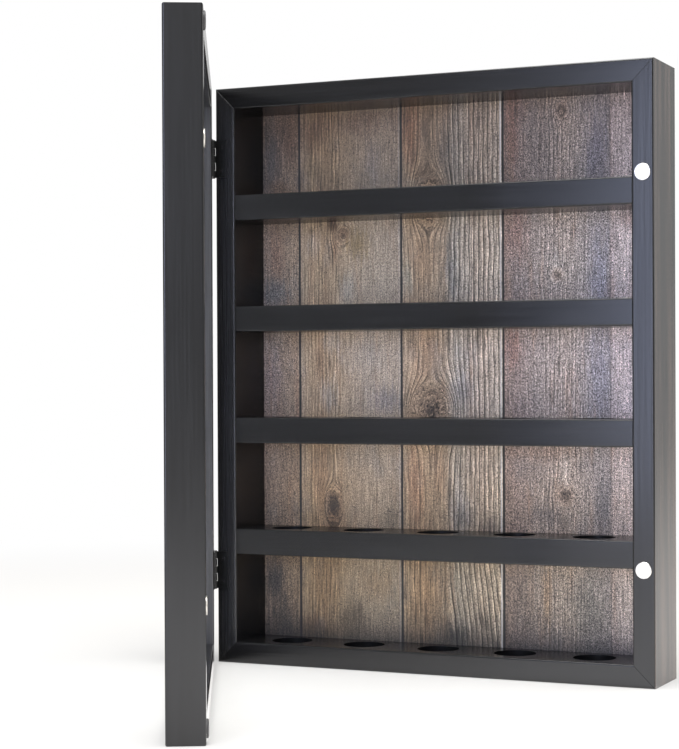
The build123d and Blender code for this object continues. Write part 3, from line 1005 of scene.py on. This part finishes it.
def select_only(*objects):
    bpy.ops.object.select_all(action="DESELECT")
    for ob in objects:
        ob.select_set(True)
    bpy.context.view_layer.objects.active = objects[0]


def pick_none(kind):
    """Leaves the active object with nothing selected, ready to pick faces or edges."""
    bpy.ops.object.mode_set(mode="EDIT")
    bpy.ops.mesh.select_mode(type=kind)
    bpy.ops.mesh.select_all(action="DESELECT")
    bpy.ops.object.mode_set(mode="OBJECT")


def pick_faces(ob, wanted):
    """Selects the faces that wanted says yes to, and goes to edit mode."""
    pick_none("FACE")
    for face in ob.data.polygons:
        face.select = wanted(face)
    bpy.ops.object.mode_set(mode="EDIT")


def pick_edges(ob, wanted):
    """Selects the edges whose two ends wanted says yes to, and goes to edit mode."""
    pick_none("EDGE")
    for edge in ob.data.edges:
        edge.select = all(wanted(ob.data.vertices[v].co) for v in edge.vertices)
    bpy.ops.object.mode_set(mode="EDIT")


def copy_to(source, name, matrix):
    """A copy of a piece with its own mesh, with its place in the mesh."""
    select_only(source)
    bpy.ops.object.duplicate(linked=False)
    copy = bpy.context.view_layer.objects.active
    copy.name = name
    copy.matrix_world = matrix
    bpy.ops.object.transform_apply(location=True, rotation=True, scale=True)
    return copy


def facing(place, outward, along):
    """A matrix at a place with its Z outward and its X along."""
    z = Vector(outward).normalized()
    x = Vector(along).normalized()
    turn = Matrix((x, z.cross(x), z)).transposed().to_4x4()
    return Matrix.Translation(place) @ turn


SCREW_HEAD_RADIUS = 1.7 * MM
SCREW_RADIUS = 0.9 * MM
SCREW_LENGTH = 8.0 * MM
SCREW_HEAD_HEIGHT = SCREW_HEAD_RADIUS - SCREW_RADIUS
SCREW_TIP_LENGTH = SCREW_LENGTH * 0.25
SCREW_TIP_SHARE = 0.15
SCREW_EDGE = 0.12 * MM


def model_screw(settings):
    """A countersunk screw with its head at Z 0: a cylinder drawn in and extruded down."""
    bpy.ops.object.select_all(action="DESELECT")
    bpy.ops.mesh.primitive_cylinder_add(
        vertices=settings.screw_sides,
        radius=SCREW_HEAD_RADIUS,
        depth=SCREW_HEAD_HEIGHT,
        location=(0, 0, -SCREW_HEAD_HEIGHT / 2),
    )
    screw = bpy.context.view_layer.objects.active
    bpy.ops.object.transform_apply(location=True)
    pick_faces(screw, lambda face: face.normal.z < -0.9)
    shrink = SCREW_RADIUS / SCREW_HEAD_RADIUS
    bpy.ops.transform.resize(value=(shrink, shrink, 1))
    shank = SCREW_LENGTH - SCREW_HEAD_HEIGHT - SCREW_TIP_LENGTH
    for length in (shank, SCREW_TIP_LENGTH):
        bpy.ops.mesh.extrude_region_move(TRANSFORM_OT_translate={"value": (0, 0, -length)})
    bpy.ops.transform.resize(value=(SCREW_TIP_SHARE, SCREW_TIP_SHARE, 1))
    pick_edges(screw, lambda co: co.z > -0.01 * MM)
    bpy.ops.mesh.bevel(offset=SCREW_EDGE, segments=2)
    bpy.ops.object.mode_set(mode="OBJECT")
    for turn in (0, math.pi / 2):
        cut_slot(screw, turn, settings)
    select_only(screw)
    bpy.ops.object.shade_smooth_by_angle(angle=math.radians(35))
    return screw


def cut_slot(screw, turn, settings):
    """Cuts one slot of the cross recess with a wedge whose floor is shorter than its mouth."""
    bpy.ops.object.select_all(action="DESELECT")
    bpy.ops.mesh.primitive_cube_add(size=1, location=(0, 0, 0))
    cutter = bpy.context.view_layer.objects.active
    cutter.scale = (SCREW_HEAD_RADIUS * 1.25, settings.recess_width, settings.recess_depth * 2)
    cutter.rotation_euler = (0, 0, turn)
    bpy.ops.object.transform_apply(location=True, rotation=True, scale=True)
    pick_faces(cutter, lambda face: face.normal.z < -0.9)
    bpy.ops.transform.resize(value=(0.45, 0.45, 1))
    bpy.ops.object.mode_set(mode="OBJECT")
    select_only(screw)
    cut = screw.modifiers.new("slot", "BOOLEAN")
    cut.operation = "DIFFERENCE"
    cut.solver = "EXACT"
    cut.object = cutter
    bpy.ops.object.modifier_apply(modifier=cut.name)
    bpy.data.objects.remove(cutter)


LEAF_THICKNESS = 0.8 * MM
HINGE_SCREW_SPACING = 18.0 * MM
HINGE_SCREW_FROM_PIN = 6.6 * MM
HANGER_SCREW_SPACING = 29.0 * MM


def hinge_screw_places(side):
    """Matrices of the screws in both leaves on the case or on the door."""
    places = []
    leaf_face = case_low.y - door_pin.y - LEAF_THICKNESS
    sign = 1 if side == "case" else -1
    for hinge in HINGES:
        low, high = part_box(f"{hinge}_case_leaf")
        for step in (-1, 1):
            height = (low.z + high.z + step * HINGE_SCREW_SPACING) / 2
            place = door_pin + Vector((HINGE_SCREW_FROM_PIN, sign * leaf_face, 0))
            place.z = height
            matrix = facing(place, (0, -sign, 0), (1, 0, 0.4 * step))
            places.append(matrix if side == "case" else door_swing @ matrix)
    return places


def hanger_screw_places():
    """Matrices of the screws in both hangers, facing back."""
    places = []
    for hanger in HANGERS:
        low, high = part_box(hanger)
        middle = (low + high) / 2
        for step in (-1, 1):
            place = Vector((middle.x, high.y, middle.z + step * HANGER_SCREW_SPACING / 2))
            places.append(facing(place, (0, 1, 0), (1, 0, 0.7 * step)))
    return places


class CASE_OT_make_screws(bpy.types.Operator):
    """Model one cross-head screw and copy it to every leaf and hanger"""

    bl_idname = "display_case.make_screws"
    bl_label = "Make the screws"

    def execute(self, context):
        screw = model_screw(context.scene.case_fittings)
        black = ("hinge_black", "black_hinge_metal")
        zinc = ("hanger_zinc", "hanger_zinc")
        groups = (
            ("case_hinge_screw", "case", black, hinge_screw_places("case")),
            ("door_hinge_screw", "door", black, hinge_screw_places("door")),
            ("keyhole_screw", "case", zinc, hanger_screw_places()),
        )
        for kind, body, (slot, material), places in groups:
            name = f"{kind}_set"
            copies = [copy_to(screw, name, matrix) for matrix in places]
            select_only(*copies)
            bpy.ops.object.join()
            piece = bpy.context.view_layer.objects.active
            piece.name = name
            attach(piece, body)
            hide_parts(f"{kind}s")
            paint(bpy.data.materials[material], name)
        bpy.data.objects.remove(screw)
        return {"FINISHED"}


BUMPER_RADIUS = 6.0 * MM
BUMPER_SIDES = 64
BUMPER_FOOT_INSET = 0.6 * MM

# Share of a pad's thickness that its crown takes, and the steps in to its middle: width as a
# share of the radius, and rise as a share of the crown
BUMPER_CROWN = 0.12
CROWN_STEPS = ((0.14, 0.50), (0.18, 0.32), (0.22, 0.18))


def model_bumper(thickness, edge):
    """A domed pad at the origin, its foot on Z 0: a cylinder with a rounded, crowned top."""
    crown = BUMPER_CROWN * thickness
    side = thickness - crown
    bpy.ops.object.select_all(action="DESELECT")
    bpy.ops.mesh.primitive_cylinder_add(
        vertices=BUMPER_SIDES, radius=BUMPER_RADIUS, depth=side, location=(0, 0, side / 2)
    )
    pad = bpy.context.view_layer.objects.active
    bpy.ops.object.transform_apply(location=True)
    pick_edges(pad, lambda co: co.z > side * 0.99)
    bpy.ops.mesh.bevel(offset=edge, segments=6)
    pick_faces(pad, lambda face: face.normal.z > 0.999)
    for inset, rise in CROWN_STEPS:
        bpy.ops.mesh.inset(thickness=inset * BUMPER_RADIUS, depth=rise * crown)
    pick_faces(pad, lambda face: face.normal.z < -0.9)
    bpy.ops.mesh.inset(thickness=BUMPER_FOOT_INSET)
    bpy.ops.object.mode_set(mode="OBJECT")
    bpy.ops.object.shade_smooth_by_angle(angle=math.radians(40))
    return pad


class CASE_OT_make_bumpers(bpy.types.Operator):
    """Model a domed bumper pad for each corner of the door's free stile"""

    bl_idname = "display_case.make_bumpers"
    bl_label = "Make the bumper pads"

    def execute(self, context):
        outward = door_swing.to_3x3() @ Vector((0, 1, 0))
        rubber = grained_material(
            "bumper_rubber", (2.5,) * 3, RUBBER_TONES, (0.50, 0.66), 0.03 * MM
        )
        for place in ("upper", "lower"):
            low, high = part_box(f"door_bumper_{place}")
            middle = (low + high) / 2
            corners = [v.co.dot(outward) for v in nodes[f"door_bumper_{place}"].data.vertices]
            thickness = max(corners) - min(corners)
            foot = middle - outward * thickness / 2
            pad = model_bumper(thickness, context.scene.case_fittings.pad_edge)
            matrix = facing(foot, outward, (0, 0, 1))
            piece = copy_to(pad, f"door_bumper_pad_{place}", matrix)
            bpy.data.objects.remove(pad)
            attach(piece, "door")
            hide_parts(f"door_bumper_{place}")
            paint(rubber, piece.name)
        return {"FINISHED"}


# Stage

# The camera's place and turn in degrees, the photograph's size, and the point in it that
# the camera looks straight at, both in pixels
CAMERA_PLACE = (0.56594, -1.38459, 0.22207)
CAMERA_TURN = (89.61682, 0.23701, 24.47295)
PHOTO_SIZE = (679, 749)
VIEW_MIDDLE = (362.357, 392.013)
SENSOR_WIDTH = 36

# Soft lights: place, point aimed at, width and height, and colour
FRONT_SOFTBOX = ((-0.03, -2.0, 0.44), (-0.03, 0.0, 0.44), (0.80, 0.84), (0.64, 0.715, 1.0))
TOP_SOFTBOX = ((0.2, -0.5, 2.4), (0, 0, 0), (1.8, 1.8), (1.0, 1.0, 1.0))
SIDE_SOFTBOX = ((2.3, 0.9, 0.9), (0.0, 0.0, 0.15), (1.2, 1.2), (1.0, 0.985, 0.96))


def add_camera(settings):
    """The camera at the photograph's viewpoint, with a small shift for its framing."""
    data = bpy.data.cameras.new("camera")
    data.lens = settings.lens
    data.sensor_fit = "AUTO"
    data.sensor_width = SENSOR_WIDTH
    long_side = max(PHOTO_SIZE)
    data.shift_x = (PHOTO_SIZE[0] / 2 - VIEW_MIDDLE[0]) / long_side
    data.shift_y = (VIEW_MIDDLE[1] - PHOTO_SIZE[1] / 2) / long_side
    camera = bpy.data.objects.new("camera", data)
    camera.location = CAMERA_PLACE
    camera.rotation_euler = [math.radians(turn) for turn in CAMERA_TURN]
    bpy.context.scene.collection.objects.link(camera)
    bpy.context.scene.camera = camera


def add_softbox(name, power, place, aim, size, colour):
    data = bpy.data.lights.new(name, "AREA")
    data.shape = "RECTANGLE"
    data.size, data.size_y = size
    data.energy = power
    data.color = colour
    light = bpy.data.objects.new(name, data)
    light.location = place
    light.rotation_euler = (Vector(aim) - Vector(place)).to_track_quat("-Z", "Y").to_euler()
    bpy.context.scene.collection.objects.link(light)


# The floor's white as the lacquer mirrors it, a painted glow that only glossy rays see: brightness
# behind the case's front and in front of it, what is added at the right, and its share over the
# pale floor
MIRRORED_BEHIND = 0.75
MIRRORED_IN_FRONT = 1.7
MIRRORED_AT_RIGHT = 2.4
MIRRORED_WHITE = 0.6

# Share of white in what the camera sees of the floor close to the case
SEEN_WHITE = 0.30


def floor_material(settings):
    """Pale floor that the camera sees as white, apart from the soft shadow near the case.

    What the lacquer mirrors of it is brightest in front of the case on the right, and dim further
    off on the left: there the floor glows with painted light that only glossy rays see, and stays
    pale further to the right as painted light. Places on the floor are in millimetres from its
    middle.
    """
    graph = new_material("stage_floor")
    ground = graph.object_mm()
    mottle = graph.texture(ground, (1 / 400,) * 3, 2.0)
    mottled = tuple(value * 0.98 for value in settings.floor_colour)
    colour = graph.mix(mottle, tuple(settings.floor_colour), mottled)
    x, y, _ = graph.separate(ground)
    # Painted light: the pale floor reaches further to the right, standing in for the light that
    # falls there
    near = graph.remap(y, -800, -250)
    painted_light_right = graph.remap(graph.math("MULTIPLY_ADD", y, -0.35, x), -180, 150)
    pale = graph.math("MAXIMUM", near, painted_light_right)
    rays = graph.node("ShaderNodeLightPath").outputs
    colour = graph.mix(pale, tuple(settings.far_floor), colour)
    colour = graph.mix(rays["Is Camera Ray"], colour, tuple(settings.seen_floor))
    matt = graph.node("ShaderNodeBsdfDiffuse", {"Color": colour})
    # Painted light: a glow seen only by glossy rays, brighter in front of the case and at its
    # right
    in_front = graph.remap(y, 0, -60)
    glow_at_right = graph.multiply(graph.remap(x, -120, 150), graph.remap(x, 1100, 700))
    glow_at_right = graph.multiply(glow_at_right, graph.remap(y, -1500, -1000))
    ahead = graph.math("MULTIPLY_ADD", glow_at_right, MIRRORED_AT_RIGHT, MIRRORED_IN_FRONT)
    mirrored = graph.mix_value(in_front, MIRRORED_BEHIND, ahead)
    strength = graph.mix_value(rays["Is Glossy Ray"], 1.0, mirrored)
    white = graph.node("ShaderNodeEmission", {"Color": WHITE, "Strength": strength})
    mirror_share = graph.multiply(graph.multiply(rays["Is Glossy Ray"], pale), MIRRORED_WHITE)
    distance = graph.node("ShaderNodeVectorMath", {0: ground}, operation="LENGTH").outputs[1]
    seen_share = graph.remap(distance, 600, 1300, SEEN_WHITE, 1.0)
    share = graph.math("MULTIPLY_ADD", rays["Is Camera Ray"], seen_share, mirror_share)
    mixed = graph.node("ShaderNodeMixShader", {0: share, 1: matt.outputs[0], 2: white.outputs[0]})
    return graph.finish(mixed)


# Brightness of the room in front of the case from its left to its right, as shares of the
# way across, and of the backdrop as mirrored on the left and on the right
ROOM = (
    (0.00, 0.16), (0.12, 0.60), (0.20, 0.90), (0.25, 0.72), (0.285, 0.42), (0.31, 0.31),
    (0.38, 0.42), (0.60, 0.85), (0.75, 0.92), (0.86, 0.50), (0.97, 0.15),
)
BACKDROP = (1.05, 0.75)


def set_world():
    """White surroundings behind the case and a dimmer room in front of it."""
    world = bpy.data.worlds.new("surroundings")
    bpy.context.scene.world = world
    graph = Graph(world)
    direction = graph.node("ShaderNodeTexCoord").outputs["Generated"]
    x, y, z = graph.separate(direction)
    path = graph.node("ShaderNodeLightPath").outputs
    front = graph.profile(graph.math("MULTIPLY_ADD", x, 0.5, 0.5), ROOM)
    front = graph.multiply(front, graph.remap(z, 0.04, 0.22, 1.0, 1.7))
    mirrored = graph.remap(x, -0.35, 0.2, *BACKDROP)
    back = graph.mix_value(path["Is Transmission Ray"], mirrored, 1.0)
    room = graph.mix_value(graph.remap(y, -0.1, 0.5), front, back)
    strength = graph.mix_value(path["Is Camera Ray"], room, 1.0)
    background = graph.node("ShaderNodeBackground", {"Color": WHITE, "Strength": strength})
    graph.node("ShaderNodeOutputWorld", {"Surface": background.outputs[0]})


class CASE_OT_build_stage(bpy.types.Operator):
    """Add the floor, the lights and the camera"""

    bl_idname = "display_case.build_stage"
    bl_label = "Build the stage"

    def execute(self, context):
        settings = context.scene.case_stage
        bpy.ops.object.select_all(action="DESELECT")
        bpy.ops.mesh.primitive_plane_add(size=settings.floor_size, location=(0, 0, -0.1 * MM))
        floor = bpy.context.view_layer.objects.active
        floor.name = "floor"
        floor.data.materials.append(floor_material(settings))
        add_softbox("front_softbox", settings.front_light, *FRONT_SOFTBOX)
        add_softbox("top_softbox", settings.top_light, *TOP_SOFTBOX)
        add_softbox("side_softbox", settings.side_light, *SIDE_SOFTBOX)
        set_world()
        add_camera(settings)
        context.scene.view_settings.view_transform = "Standard"
        return {"FINISHED"}


class CASE_PT_panel(bpy.types.Panel):
    """The steps that finish the display case, in order"""

    bl_idname = "CASE_PT_panel"
    bl_label = "Display case"
    bl_space_type = "VIEW_3D"
    bl_region_type = "UI"
    bl_category = "Display case"

    def draw(self, context):
        for operator in OPERATORS:
            self.layout.operator(operator.bl_idname)
        for group in SETTINGS:
            settings = getattr(context.scene, group)
            box = self.layout.box()
            for name in settings.bl_rna.properties.keys():
                if name not in ("rna_type", "name"):
                    box.prop(settings, name)


SETTINGS = {
    "case_lacquer": LacquerSettings,
    "case_planks": PlankSettings,
    "case_fittings": FittingSettings,
    "case_stage": StageSettings,
}
OPERATORS = (
    CASE_OT_finish_lacquer,
    CASE_OT_finish_planks,
    CASE_OT_finish_pane,
    CASE_OT_finish_fittings,
    CASE_OT_make_screws,
    CASE_OT_make_bumpers,
    CASE_OT_build_stage,
)


def register():
    for kind in (*SETTINGS.values(), *OPERATORS, CASE_PT_panel):
        bpy.utils.register_class(kind)
    for name, kind in SETTINGS.items():
        setattr(bpy.types.Scene, name, PointerProperty(type=kind))


def unregister():
    for name in SETTINGS:
        delattr(bpy.types.Scene, name)
    for kind in (CASE_PT_panel, *reversed(OPERATORS), *SETTINGS.values()):
        bpy.utils.unregister_class(kind)


def main():
    register()
    bpy.ops.display_case.finish_lacquer()
    bpy.ops.display_case.finish_planks()
    bpy.ops.display_case.finish_pane()
    bpy.ops.display_case.finish_fittings()
    bpy.ops.display_case.make_screws()
    bpy.ops.display_case.make_bumpers()
    bpy.ops.display_case.build_stage()


if __name__ == "__main__":
    main()
